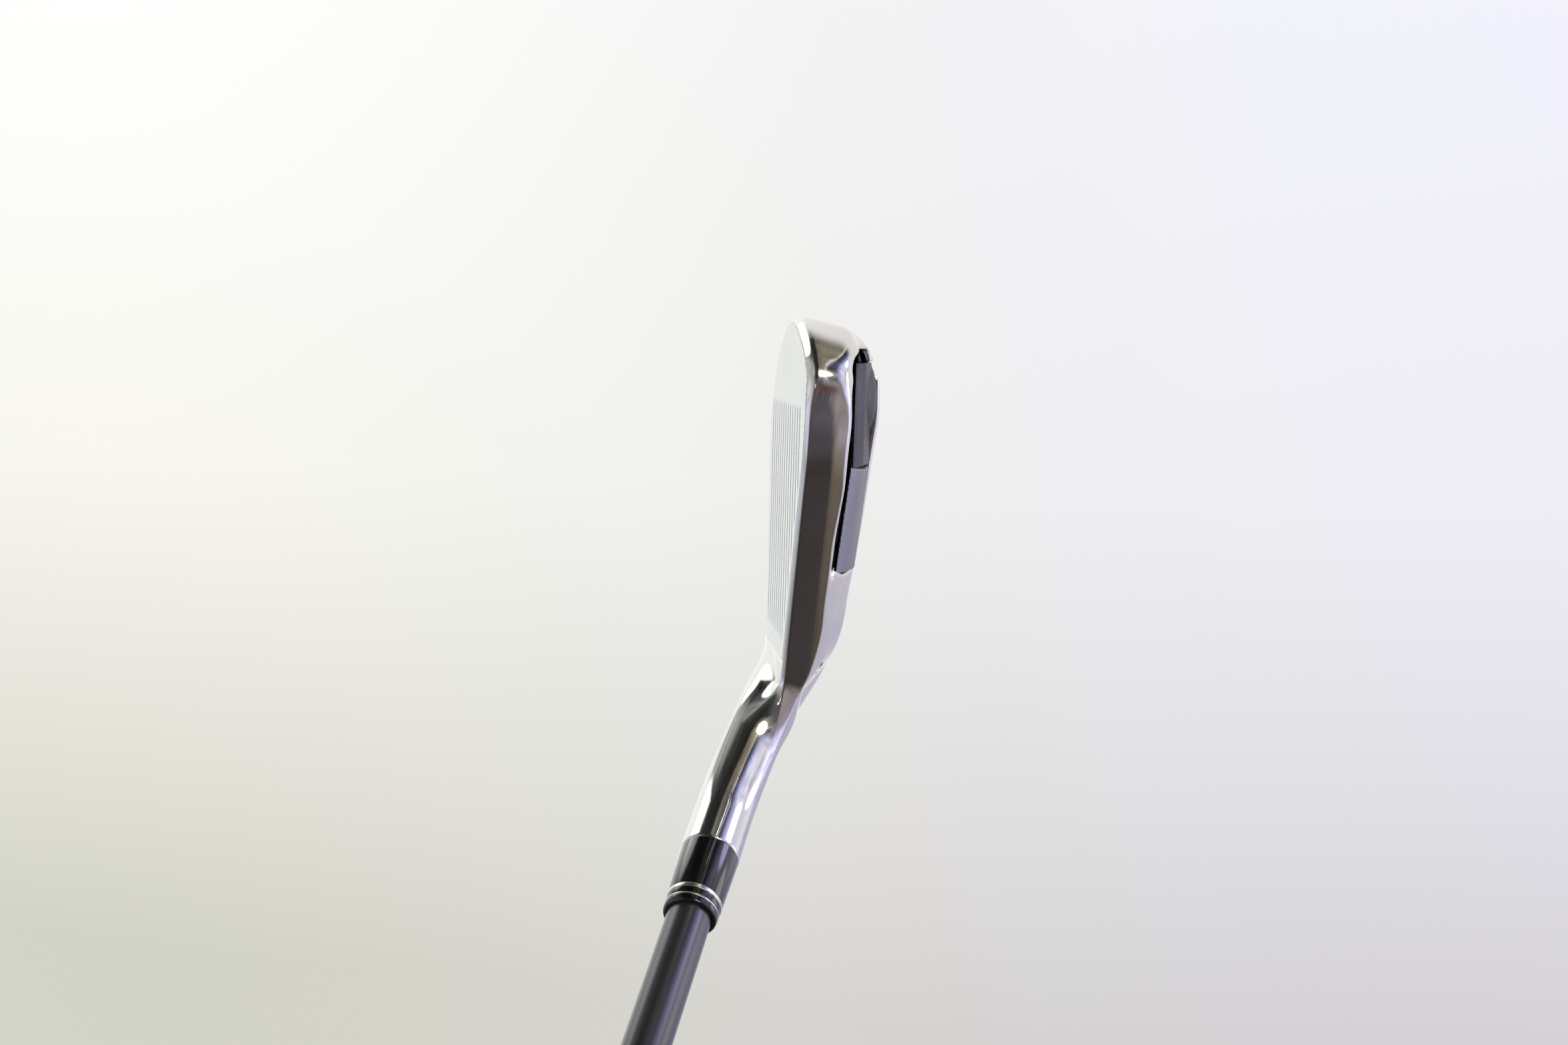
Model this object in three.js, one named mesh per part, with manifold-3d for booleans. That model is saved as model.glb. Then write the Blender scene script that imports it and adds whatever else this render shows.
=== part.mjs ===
// Iron golf club standing as at address: millimetres, +Z up, strike face toward -Y, toe toward -X.
// The origin is the middle of the small flat on which the sole rests.
import * as THREE from 'three';
import { mergeVertices } from 'three/addons/utils/BufferGeometryUtils.js';
import { ConvexGeometry } from 'three/addons/geometries/ConvexGeometry.js';
import Module from 'manifold-3d';

// ---- driving dimensions ----
const LIE = THREE.MathUtils.degToRad(62.2);      // shaft axis to ground
const LOFT = THREE.MathUtils.degToRad(20.1);     // face plane to vertical
const GAP = 0.3;                                 // air between neighbouring solids
const AXIS_X = 40;                               // where the shaft axis meets the ground
const AXIS_Y = -9;
const FACE_Y = -10.6;                            // where the face plane meets the ground

const PLATE_THICK = 2.6;                         // strike face plate
const PLATE_HEEL = 8.3;                          // plate's heel end, measured from the shaft axis
const GROOVE_COUNT = 13;
const GROOVE_PITCH = 3.55;
const GROOVE_FIRST = 8.0;                        // height of the lowest score line, up the face
const GROOVE_WIDTH = 0.7;
const GROOVE_DEPTH = 0.45;
const GROOVE_HEEL = 13.2;                        // score lines run between these, from the shaft axis
const GROOVE_TOE = 69.1;
const GROOVE_MARGIN = 2.5;                       // kept clear below the topline

const TOPLINE_DEPTH = 8.8;                       // topline thickness, square to the face
const TOPLINE_FOOT = 29.1;                       // topline's height up the face, beside the shaft axis
const TOPLINE_SLOPE = 0.468;                     // its rise toward the toe, mm per mm
const CROWN = 57;                                // it runs straight as far as this from the shaft axis
const RIM = 5.5;                                 // frame width around the cavity
const CAVITY_HEEL = 30;                          // cavity's ends, measured from the shaft axis
const CAVITY_TOE = 81;
const PANEL_SPLIT = 54;                          // where the two back panels meet
const PANEL_TOE = 78;
const POCKET_FLOOR = 8.5;                        // height of the cavity's floor above the ground
const BACK_TAPER = 0.115;                        // the back comes forward toward the heel, mm per mm

const HOSEL_TOP = 59.8;                          // distances along the shaft axis, from the ground
const HOSEL_R = 6.5;
const BORE_BOTTOM = 24.5;
const BORE_R = 5.0;
const FERRULE_TOP = 77;
const RING_WIDE = 73.1;
const RING_FINE = 75.3;
const SHAFT_TIP = 28;
const SHAFT_PARALLEL = 190;                      // end of the parallel tip section
const SHAFT_END = 978;
const TIP_R = 4.7;
const BUTT_R = 7.6;
const PIN_R = 2.2;
const PIN_HEAD_R = 4.4;
const GRIP_MOUTH = 714;
const CLUB_LENGTH = 984;
const GRIP_MOUTH_R = 9.6;
const GRIP_BUTT_R = 13.4;
const CAP_HEIGHT = 4.5;
const VENT_R = 1.6;
const TAPE_THICK = 0.4;

const ROUND = 40;                                // sides on a turned part
const ROUND_FINE = 32;                           // sides on a slender turned part
const ROUND_PIN = 24;
const RING_POINTS = 20;                          // points round each ring of the neck
const CLEAR = 60;                                // well past the head on every side
const SHAFT_BEND = SHAFT_END - 60;               // the shaft's taper ends here

// ---- helpers ----
const wasm = await Module();
wasm.setup();

const AXIS_DIR = new THREE.Vector3(Math.cos(LIE), 0, Math.sin(LIE));
const FACE_UP = new THREE.Vector3(0, Math.sin(LOFT), Math.cos(LOFT));
const FACE_OUT = new THREE.Vector3(0, -Math.cos(LOFT), Math.sin(LOFT));
const ALONG_X = new THREE.Vector3(1, 0, 0);

// local x, y and z become world X, up the face and out of the face
const ON_FACE = new THREE.Matrix4().makeBasis(ALONG_X, FACE_UP, FACE_OUT).setPosition(0, FACE_Y, 0);
// local x, y and z become world Y, Z and X, for side views swept from toe to heel
const SIDE_VIEW = new THREE.Matrix4().makeBasis(
  new THREE.Vector3(0, 1, 0), new THREE.Vector3(0, 0, 1), ALONG_X);
// local x, y and z become world X, Z and -Y, for front views swept from back to front
const FRONT_VIEW = new THREE.Matrix4().makeBasis(
  ALONG_X, new THREE.Vector3(0, 0, 1), new THREE.Vector3(0, -1, 0));
// local +Y becomes the shaft axis, for turned parts
const ON_AXIS = new THREE.Matrix4()
  .makeRotationFromQuaternion(new THREE.Quaternion().setFromUnitVectors(new THREE.Vector3(0, 1, 0), AXIS_DIR))
  .setPosition(AXIS_X, AXIS_Y, 0);

// x of a point that lies a distance from the shaft axis toward the toe
function fromAxis(distance) {
  return AXIS_X - distance;
}

function toSolid(geometry) {
  const bare = geometry.clone();
  bare.deleteAttribute('normal');
  bare.deleteAttribute('uv');
  const merged = mergeVertices(bare, 1e-4);
  return new wasm.Manifold(new wasm.Mesh({
    numProp: 3,
    vertProperties: new Float32Array(merged.attributes.position.array),
    triVerts: new Uint32Array(merged.index.array),
  }));
}

function toGeometry(solid) {
  const mesh = solid.getMesh();
  const geometry = new THREE.BufferGeometry();
  geometry.setAttribute('position', new THREE.BufferAttribute(mesh.vertProperties, 3));
  geometry.setIndex(new THREE.BufferAttribute(mesh.triVerts, 1));
  geometry.computeVertexNormals();
  return geometry;
}

function vectors(points) {
  return points.map(([x, y]) => new THREE.Vector2(x, y));
}

// a shape swept along its own z, from low to high, then placed by a matrix
function sweep(shape, low, high, matrix, curveSegments = 6) {
  const geometry = new THREE.ExtrudeGeometry(shape, { depth: high - low, bevelEnabled: false, curveSegments });
  geometry.translate(0, 0, low);
  geometry.applyMatrix4(matrix);
  return toSolid(geometry);
}

// a closed profile of [radius, distance along the shaft axis] turned about that axis
function turned(profile, sides = ROUND) {
  const geometry = new THREE.LatheGeometry(vectors(profile), sides);
  geometry.applyMatrix4(ON_AXIS);
  return geometry;
}

function turnedSolid(profile, sides = ROUND) {
  return toSolid(turned(profile, sides));
}

// [y, z] of a point at a depth behind the face plane and a height up the face
function behindFace(depth, up) {
  return [
    FACE_Y + depth * Math.cos(LOFT) + up * Math.sin(LOFT),
    -depth * Math.sin(LOFT) + up * Math.cos(LOFT),
  ];
}

// the matrix that brings the back forward toward the heel, about the panels' joint
function backTaper() {
  const taper = new THREE.Matrix4();
  const joint = fromAxis(PANEL_SPLIT);
  taper.set(1, 0, 0, 0, -BACK_TAPER, 1, 0, BACK_TAPER * joint, 0, 0, 1, 0, 0, 0, 0, 1);
  return taper;
}

// height of the topline up the face, at a distance from the shaft axis
function toplineHeight(distance) {
  return TOPLINE_FOOT + TOPLINE_SLOPE * distance;
}

// ---- outlines of the head ----

// the face seen square on: x against height up the face, drawn in by an inset
function faceOutline(inset, heel, foot) {
  const shape = new THREE.Shape();
  shape.moveTo(fromAxis(heel), foot);
  shape.lineTo(fromAxis(heel), toplineHeight(heel) - inset);
  shape.lineTo(fromAxis(CROWN), toplineHeight(CROWN) - inset);
  const toe = [
    [68, 59.0], [74, 59.7], [78.5, 57.4], [82.2, 50.5], [85.2, 42], [86.8, 32], [85, 22], [80, 12], [72, 4.5],
  ];
  // the inset acts toward the heel past the crown, and downward on the toe's upper half
  const drawn = toe.map(([u, up]) => [
    fromAxis(u - inset * (Math.max(u - CROWN, 0) / 50)),
    up - inset * THREE.MathUtils.clamp((up - 25) / 30, 0, 1),
  ]);
  shape.splineThru(vectors(drawn));
  shape.lineTo(fromAxis(64), foot);
  shape.closePath();
  return shape;
}

// the head seen from the front: the sole's rocker from heel to toe
function frontOutline() {
  const shape = new THREE.Shape();
  shape.moveTo(fromAxis(18), 0);
  shape.lineTo(fromAxis(-12), 9);
  shape.lineTo(fromAxis(-12), 80);
  shape.lineTo(fromAxis(95), 80);
  shape.lineTo(fromAxis(95), 30);
  shape.lineTo(fromAxis(87.4), 30);
  shape.splineThru(vectors([
    [fromAxis(86.6), 20], [fromAxis(82.5), 9], [fromAxis(75), 2.6], [fromAxis(64), 0],
  ]));
  shape.closePath();
  return shape;
}

// the head seen from above: the back's sweep from toe to heel
function planOutline() {
  const shape = new THREE.Shape();
  shape.moveTo(fromAxis(87.6), -14);
  shape.lineTo(fromAxis(87.6), 2);
  shape.splineThru(vectors([
    [86.9, 6], [85.6, 9.8], [83.2, 13.4], [79.3, 16.6], [74, 17.9], [66, 17.9], [54, 16.3], [42, 14.9],
    [30, 13.0], [18.5, 11.4], [8, 8.4], [-2, 4.2], [-9, -1],
  ].map(([u, y]) => [fromAxis(u), y])));
  shape.lineTo(fromAxis(-9), -14);
  shape.closePath();
  return shape;
}

// the head seen from the toe, behind the plate: topline, upright back, trailing edge and sole
function sideOutline() {
  const front = PLATE_THICK + GAP;
  const shape = new THREE.Shape(vectors([
    [-6.5, 0],
    [6, 0],
    [11, 0.9],
    [14.6, 3.4],
    [16.4, 7],
    [17.3, 11],
    [17.2, 25],
    [17.8, 40],
    behindFace(TOPLINE_DEPTH, 55),
    behindFace(TOPLINE_DEPTH, 66),
    behindFace(front, 66),
    behindFace(front, 1.4),
  ]));
  return shape;
}

// ---- the head ----

// hollow of the cavity seen from the toe: over the muscle's wall, down into the pocket before it
function cavityProfile() {
  return new THREE.Shape(vectors([
    behindFace(0, 8.5),
    [8.6, POCKET_FLOOR],
    [8.6, 17.2],
    [12.3, 17.2],
    [12.3, POCKET_FLOOR - 0.2],
    [30, POCKET_FLOOR - 0.2],
    [30, 70],
    behindFace(0, 70),
  ]));
}

function cavity() {
  const opening = sweep(faceOutline(RIM, CAVITY_HEEL, 0), -CLEAR, 0, ON_FACE);
  const profile = cavityProfile();
  const toeHalf = sweep(profile, fromAxis(CAVITY_TOE), fromAxis(PANEL_SPLIT), SIDE_VIEW);
  const tapered = backTaper().multiply(SIDE_VIEW);
  const heelHalf = sweep(profile, fromAxis(PANEL_SPLIT), fromAxis(CAVITY_HEEL), tapered);
  return toeHalf.add(heelHalf).intersect(opening);
}

function ringPoints(distance, radius) {
  const points = [];
  for (let i = 0; i < RING_POINTS; i += 1) {
    const angle = (2 * Math.PI * i) / RING_POINTS;
    const point = new THREE.Vector3(radius * Math.sin(angle), distance, radius * Math.cos(angle));
    points.push(point.applyMatrix4(ON_AXIS));
  }
  return points;
}

// the neck that carries the blade's heel into the hosel
function neck() {
  const x = fromAxis(PLATE_HEEL) + GAP;
  const section = [
    behindFace(0, 3.2),
    behindFace(0, toplineHeight(PLATE_HEEL) - 1),
    behindFace(1, toplineHeight(PLATE_HEEL)),
    behindFace(8, toplineHeight(PLATE_HEEL) - 1),
    [8.4, 12],
    [7, 4.5],
    [1, 1.3],
    [-6, 1.3],
  ];
  const points = section.map(([y, z]) => new THREE.Vector3(x, y, z));
  points.push(...ringPoints(7, 5), ...ringPoints(14, HOSEL_R), ...ringPoints(26, HOSEL_R));
  return toSolid(new ConvexGeometry(points));
}

function hoselBarrel() {
  return turnedSolid([
    [0, 18],
    [HOSEL_R, 18],
    [HOSEL_R, HOSEL_TOP - 0.4],
    [HOSEL_R - 0.4, HOSEL_TOP],
    [0, HOSEL_TOP],
  ]);
}

function headBody() {
  let body = sweep(sideOutline(), fromAxis(90), fromAxis(PLATE_HEEL), SIDE_VIEW);
  body = body.intersect(sweep(faceOutline(0, PLATE_HEEL, -12), -CLEAR, 0, ON_FACE));
  body = body.intersect(sweep(planOutline(), -5, 80, new THREE.Matrix4()));
  body = body.intersect(sweep(frontOutline(), -CLEAR, CLEAR, FRONT_VIEW));
  body = body.subtract(cavity());
  // a short block overlaps blade and neck, so that the two join behind the plate
  const joint = [behindFace(3.2, 6), behindFace(3.2, 30), behindFace(7.5, 30), [7, 12], [6, 4], [-3, 2]];
  const jointShape = new THREE.Shape(vectors(joint));
  const overlap = sweep(jointShape, fromAxis(PLATE_HEEL + 3), fromAxis(PLATE_HEEL - 3), SIDE_VIEW);
  body = body.add(overlap).add(neck()).add(hoselBarrel());
  const bore = turnedSolid([[0, BORE_BOTTOM], [BORE_R, BORE_BOTTOM], [BORE_R, HOSEL_TOP + 5], [0, HOSEL_TOP + 5]]);
  return toGeometry(body.subtract(bore));
}

// the plate carries the whole face, with a shallow groove for each score line
function facePlate() {
  let plate = sweep(faceOutline(0, PLATE_HEEL, 1.5), -PLATE_THICK, 0, ON_FACE);
  plate = plate.intersect(sweep(frontOutline(), -CLEAR, CLEAR, FRONT_VIEW));
  for (let i = 0; i < GROOVE_COUNT; i += 1) {
    const up = GROOVE_FIRST + i * GROOVE_PITCH;
    const heel = Math.max(GROOVE_HEEL, (up + GROOVE_MARGIN - TOPLINE_FOOT) / TOPLINE_SLOPE);
    const groove = new THREE.BoxGeometry(GROOVE_TOE - heel, GROOVE_WIDTH, 2 * GROOVE_DEPTH);
    groove.translate(fromAxis((GROOVE_TOE + heel) / 2), up, 0);
    groove.applyMatrix4(ON_FACE);
    plate = plate.subtract(toSolid(groove));
  }
  return toGeometry(plate);
}

// two satin panels form the muscle's back: the toe panel stands prouder, with a long ridge
function toePanel() {
  const profile = new THREE.Shape(vectors([
    [12.6, POCKET_FLOOR + 0.1], [16.9, POCKET_FLOOR + 0.1], [17.4, 11.5], [16.2, 16.5], [13.3, 20.6], [12.6, 20.6],
  ]));
  const blank = sweep(profile, fromAxis(PANEL_TOE), fromAxis(PANEL_SPLIT + 0.4), SIDE_VIEW);
  return toGeometry(blank.intersect(sweep(planOutline(), -5, 80, new THREE.Matrix4())));
}

function centrePanel() {
  const profile = new THREE.Shape(vectors([
    [12.6, POCKET_FLOOR + 0.1], [15.9, POCKET_FLOOR + 0.1], [16.1, 11], [13.3, 20.6], [12.6, 20.6],
  ]));
  const tapered = backTaper().multiply(SIDE_VIEW);
  return toGeometry(sweep(profile, fromAxis(PANEL_SPLIT - 0.4), fromAxis(CAVITY_HEEL + GAP), tapered));
}

// elastomer strip hooked over the muscle's wall
function damperStrip() {
  const profile = new THREE.Shape(vectors([
    [5.2, 12], [8.3, 12], [8.3, 17.5], [12.3, 17.5], [12.3, 19.2], [5.2, 19.2],
  ]));
  const tapered = backTaper().multiply(SIDE_VIEW);
  const heelHalf = sweep(profile, fromAxis(PANEL_SPLIT), fromAxis(CAVITY_HEEL + 1), tapered);
  const toeHalf = sweep(profile, fromAxis(PANEL_TOE), fromAxis(PANEL_SPLIT), SIDE_VIEW);
  return toGeometry(toeHalf.add(heelHalf));
}

// a pad and a plate lie on each other behind the strike face, inside the cavity
function badgeLayer(near, far, inset) {
  const layer = sweep(faceOutline(RIM + inset, CAVITY_HEEL + inset, 21), -far, -near, ON_FACE);
  const limit = new THREE.BoxGeometry(CAVITY_TOE - CAVITY_HEEL - 2 * inset, 100, 100);
  limit.translate(fromAxis((CAVITY_TOE + CAVITY_HEEL) / 2), 0, 60);
  return toGeometry(layer.intersect(toSolid(limit)));
}

// ---- shaft, ferrule and grip ----

function shaftRadius(distance) {
  const t = THREE.MathUtils.clamp((distance - SHAFT_PARALLEL) / (SHAFT_BEND - SHAFT_PARALLEL), 0, 1);
  return THREE.MathUtils.lerp(TIP_R, BUTT_R, t);
}

function shaft() {
  const outer = [];
  const inner = [];
  const stations = [SHAFT_TIP, 100, SHAFT_PARALLEL, 350, 500, 650, 800, SHAFT_BEND, SHAFT_END];
  for (const distance of stations) {
    const wall = THREE.MathUtils.mapLinear(distance, SHAFT_TIP, SHAFT_END, 2.1, 1.3);
    outer.push([shaftRadius(distance), distance]);
    inner.push([shaftRadius(distance) - wall, distance]);
  }
  return turned([...outer, ...inner.reverse(), outer[0]], ROUND_FINE);
}

// brass swing-weight pin pressed up the tip, with a head under the shaft's end
function tipWeight() {
  const low = BORE_BOTTOM + GAP;
  const shoulder = SHAFT_TIP - GAP;
  const tip = SHAFT_TIP + 14;
  const profile = [
    [0, low], [PIN_HEAD_R, low], [PIN_HEAD_R, shoulder], [PIN_R, shoulder], [PIN_R, tip], [0, tip],
  ];
  return turned(profile, ROUND_PIN);
}

// radius of the ferrule's outside: it starts flush with the hosel and tapers to the shaft
function ferruleRadius(distance) {
  const t = (distance - HOSEL_TOP) / (FERRULE_TOP - HOSEL_TOP);
  return HOSEL_R - 0.75 * t;
}

function ferrule() {
  const low = HOSEL_TOP + GAP;
  const inner = TIP_R + GAP;
  const profile = [[inner, low], [ferruleRadius(low), low]];
  for (const [middle, half, depth] of [[RING_WIDE, 0.65, 0.7], [RING_FINE, 0.45, 0.55]]) {
    const r = ferruleRadius(middle);
    profile.push([r, middle - half], [r - depth, middle - half], [r - depth, middle + half], [r, middle + half]);
  }
  profile.push([5.7, FERRULE_TOP - 0.6], [5.3, FERRULE_TOP], [inner, FERRULE_TOP], [inner, low]);
  return turned(profile);
}

function ring(middle, half, depth) {
  const r = ferruleRadius(middle);
  const inner = r - depth;
  return turned([
    [inner, middle - half], [r, middle - half], [r, middle + half], [inner, middle + half], [inner, middle - half],
  ]);
}

function gripRadius(distance) {
  const t = (distance - GRIP_MOUTH) / (CLUB_LENGTH - GRIP_MOUTH);
  return THREE.MathUtils.lerp(GRIP_MOUTH_R, GRIP_BUTT_R, t ** 1.15);
}

function gripSleeve() {
  const end = CLUB_LENGTH - CAP_HEIGHT;
  const outer = [];
  const inner = [];
  for (const distance of [GRIP_MOUTH + 2, 760, 810, 860, 910, 960, end]) {
    outer.push([gripRadius(distance), distance]);
    inner.push([shaftRadius(distance) + 2 * GAP + TAPE_THICK, distance]);
  }
  const mouth = [shaftRadius(GRIP_MOUTH) + 2 * GAP + TAPE_THICK, GRIP_MOUTH];
  inner[0] = mouth;
  return turned([mouth, [GRIP_MOUTH_R - 0.6, GRIP_MOUTH], ...outer, ...inner.reverse()]);
}

function gripTape() {
  const low = GRIP_MOUTH + 4;
  const high = SHAFT_END - 1;
  const at = (distance, lift) => [shaftRadius(distance) + GAP + lift, distance];
  const outer = [low, SHAFT_BEND, high].map((distance) => at(distance, TAPE_THICK));
  const inner = [high, SHAFT_BEND, low].map((distance) => at(distance, 0));
  return turned([...outer, ...inner, outer[0]], ROUND_FINE);
}

// the cap closes the grip above the shaft's end, with a vent hole through its middle
function gripCap() {
  const low = CLUB_LENGTH - CAP_HEIGHT + GAP;
  const r = GRIP_BUTT_R;
  return turned([
    [VENT_R, low], [r, low], [r + 0.1, CLUB_LENGTH - 2.4], [r - 0.5, CLUB_LENGTH - 0.9],
    [r - 2, CLUB_LENGTH], [VENT_R, CLUB_LENGTH], [VENT_R, low],
  ]);
}

// ---- assembly ----

const club = new THREE.Group();

function addPiece(name, geometry, color, roughness, metalness) {
  const material = new THREE.MeshStandardMaterial({ color, roughness, metalness });
  const mesh = new THREE.Mesh(geometry, material);
  mesh.name = name;
  club.add(mesh);
}

addPiece('head_body', headBody(), 0xb9b7b2, 0.08, 1);
addPiece('face_plate', facePlate(), 0xd2d2cf, 0.45, 1);
addPiece('toe_back_panel', toePanel(), 0x6c6a74, 0.5, 1);
addPiece('centre_back_panel', centrePanel(), 0x8c8894, 0.5, 1);
addPiece('damper_strip', damperStrip(), 0x0c0c0e, 0.7, 0);
addPiece('badge_pad', badgeLayer(PLATE_THICK + GAP, 4.1, 1.6), 0x17171a, 0.8, 0);
addPiece('badge_plate', badgeLayer(4.4, 5.4, 2.4), 0x9a9ca2, 0.35, 1);
addPiece('tip_weight', tipWeight(), 0xb08d3c, 0.35, 1);
addPiece('shaft', shaft(), 0x3b3b41, 0.35, 0.2);
addPiece('ferrule', ferrule(), 0x0b0b0e, 0.15, 0);
addPiece('ferrule_ring_wide', ring(RING_WIDE, 0.35, 0.4), 0xc9c9c4, 0.15, 1);
addPiece('ferrule_ring_fine', ring(RING_FINE, 0.15, 0.25), 0xc9c9c4, 0.15, 1);
addPiece('grip_tape', gripTape(), 0xd8d2c0, 0.8, 0);
addPiece('grip_sleeve', gripSleeve(), 0x1b1b1d, 0.85, 0);
addPiece('grip_cap', gripCap(), 0x161618, 0.8, 0);

export default club;
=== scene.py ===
"""Iron golf club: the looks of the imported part, built in metres around its frame."""

import math

import bpy
import numpy as np
from mathutils import Matrix, Vector


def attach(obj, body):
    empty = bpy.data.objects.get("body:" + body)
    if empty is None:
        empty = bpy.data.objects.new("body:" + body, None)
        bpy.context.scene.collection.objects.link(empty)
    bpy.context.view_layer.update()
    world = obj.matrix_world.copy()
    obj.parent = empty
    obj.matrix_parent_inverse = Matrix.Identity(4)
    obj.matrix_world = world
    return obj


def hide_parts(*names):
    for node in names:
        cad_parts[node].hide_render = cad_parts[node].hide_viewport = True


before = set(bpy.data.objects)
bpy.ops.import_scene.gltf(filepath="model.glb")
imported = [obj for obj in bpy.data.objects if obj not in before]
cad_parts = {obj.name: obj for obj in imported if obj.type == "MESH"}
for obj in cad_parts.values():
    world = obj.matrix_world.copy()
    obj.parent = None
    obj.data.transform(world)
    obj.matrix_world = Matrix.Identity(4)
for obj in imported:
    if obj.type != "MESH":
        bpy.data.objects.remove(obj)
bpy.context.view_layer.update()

# ---- sizes in millimetres, as the part's frame has them ----
# Sizes across the blade run toward the toe from where the shaft axis meets the ground.
MM = 0.001
LIE = math.radians(62.2)  # shaft axis to ground
LOFT = math.radians(20.1)  # face plane to vertical
AXIS_X, AXIS_Y = 40.0, -9.0  # where the shaft axis meets the ground
FACE_Y = -10.6  # where the face plane meets the ground
PLATE_THICK = 2.6
HOSEL_TOP = 59.8  # along the shaft axis, from the ground
HOSEL_R = 6.5
BORE_R, BORE_BOTTOM = 5.0, 24.5
TIP_R, BUTT_R = 4.7, 7.6
SHAFT_TIP, SHAFT_PARALLEL, SHAFT_END = 28.0, 190.0, 978.0
FERRULE_TOP = 77.0
RING_WIDE, RING_FINE = 73.1, 75.3
GRIP_MOUTH, CLUB_LENGTH = 714.0, 984.0
GRIP_MOUTH_R, GRIP_BUTT_R = 9.6, 13.4
CAVITY_HEEL, CAVITY_TOE = 30.0, 81.0  # the cavity's two ends, across the blade
CAVITY_FLOOR = 8.4
MUSCLE_FRONT, MUSCLE_BACK, MUSCLE_TOP = 8.6, 12.3, 17.2  # a low wall that stands in the cavity
PANEL_FLOOR = 8.6
PANEL_SPLIT, PANEL_TOE = 54.0, 78.0  # where the two panels meet, and where the toe panel ends
ARCH_MIDDLE, ARCH_LENGTH, ARCH_WIDTH = (77.2, 14.0, 18.0), 3.1, 1.5
ARCH_FLOOR = 16.6
ARCH_LEAN = 0.172  # the cavity's arched toe end leans back as it rises
LIP_INNER, LIP_TOP = 14.6, 19.0  # the lip past the toe panel: where it starts, and how high it is
DAMPER_FRONT, DAMPER_BOTTOM, DAMPER_TOP = 5.2, 12, 19.2
BACK_TAPER = 0.115  # how the muscle draws forward toward the heel
GROOVE_COUNT, GROOVE_PITCH, GROOVE_FIRST = 13, 3.55, 8.0
GROOVE_HEEL, GROOVE_TOE = 13.2, 69.1
GROOVE_DEPTH = 0.42
GROOVE_FLOOR_HALF, GROOVE_TOP_HALF = 0.28, 0.45
PLATE_PROUD = 0.05  # the plate's front stands this far out of the casting's face
PLATE_MIDDLE, PLATE_SHRINK = (45.0, 30.0), 0.975  # its back is drawn in toward its middle
PLATE_LOW, PLATE_HIGH = 2.62, 58.9  # its lowest and highest rows of points, up the face
PLATE_INSET, PLATE_HEEL, PLATE_SOLE = 0.95, 11.6, 2.6  # its edges: from the outline, across and up the face
POCKET_INSET = 0.3  # the pocket under the plate is this much smaller all round

AXIS_DIR = np.array([math.cos(LIE), 0.0, math.sin(LIE)])
SIN_LOFT, COS_LOFT = math.sin(LOFT), math.cos(LOFT)


# ---- curves and smooth solids ----
class Curve:
    """A natural cubic spline through (x, y) points that runs on straight beyond its ends."""

    def __init__(self, points):
        self.x, self.y = np.array(points, float).T
        h = np.diff(self.x)
        slopes = np.diff(self.y) / h
        size = len(self.x)
        matrix = np.eye(size)
        right = np.zeros(size)
        for i in range(1, size - 1):
            matrix[i, i - 1:i + 2] = h[i - 1], 2 * (h[i - 1] + h[i]), h[i]
            right[i] = 6 * (slopes[i] - slopes[i - 1])
        self.bend = np.linalg.solve(matrix, right)
        self.h = h

    def both(self, at):
        """Value and slope."""
        at = np.asarray(at, float)
        t = np.clip(at, self.x[0], self.x[-1])
        i = np.clip(np.searchsorted(self.x, t) - 1, 0, len(self.h) - 1)
        h, a, b = self.h[i], self.x[i + 1] - t, t - self.x[i]
        m0, m1 = self.bend[i], self.bend[i + 1]
        c0 = self.y[i] / h - m0 * h / 6
        c1 = self.y[i + 1] / h - m1 * h / 6
        value = (m0 * a ** 3 + m1 * b ** 3) / (6 * h) + c0 * a + c1 * b
        slope = (m1 * b ** 2 - m0 * a ** 2) / (2 * h) + c1 - c0
        return value + slope * (at - t), slope

    def __call__(self, at):
        return self.both(at)[0]


def smax(a, b, radius):
    """Both shapes at once, with their meeting edge rounded by about a radius."""
    h = np.maximum(radius - np.abs(a - b), 0.0) / radius
    return np.maximum(a, b) + h ** 3 * radius / 6


def smin(a, b, radius):
    """Either shape, with their meeting corner filled by about a radius."""
    return -smax(-a, -b, radius)


def fillet(a, b, radius):
    """Either shape, with a hollow fillet of a true radius where they meet."""
    near_a, near_b = np.maximum(radius - a, 0.0), np.maximum(radius - b, 0.0)
    return np.maximum(radius, np.minimum(a, b)) - length(near_a, near_b)


def ease(t):
    """Rises smoothly from 0 to 1 while t does."""
    t = np.clip(t, 0.0, 1.0)
    return t * t * (3 - 2 * t)


def face_frame(y, z):
    """Depth behind the face plane and height up the face."""
    back = y - FACE_Y
    return back * COS_LOFT - z * SIN_LOFT, back * SIN_LOFT + z * COS_LOFT


def axis_frame(x, y, z):
    """Distance along the shaft axis, and offsets from it toward the heel and the back."""
    dx, dy = x - AXIS_X, y - AXIS_Y
    along = dx * AXIS_DIR[0] + z * AXIS_DIR[2]
    side = dx * AXIS_DIR[2] - z * AXIS_DIR[0]
    return along, side, dy


def length(a, b):
    return np.sqrt(a ** 2 + b ** 2 + 1e-9)


def ellipsoid(offsets, sizes):
    """Below 0 inside an ellipsoid, as a share of its size."""
    return np.sqrt(sum((offset / size) ** 2 for offset, size in zip(offsets, sizes))) - 1


# the topline's height up the face, across the blade
CREST = Curve([(-30, 15.8), (0, 29.85), (30, 43.9), (50, 53.2), (57, 56.3), (62.5, 58.0), (68, 59.2),
               (74, 60.1), (80, 60.4)])
# the toe's reach against height up the face
TOE_REACH = Curve([(-6, 50), (2, 64), (5.2, 70), (9.9, 76), (14.9, 80.6), (20, 83.8), (25.4, 86.2),
                   (31, 87.6), (36, 87.8), (40, 87.2), (44.4, 85.8), (49.8, 83.7), (54.1, 81.6),
                   (60, 77.8)])
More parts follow.
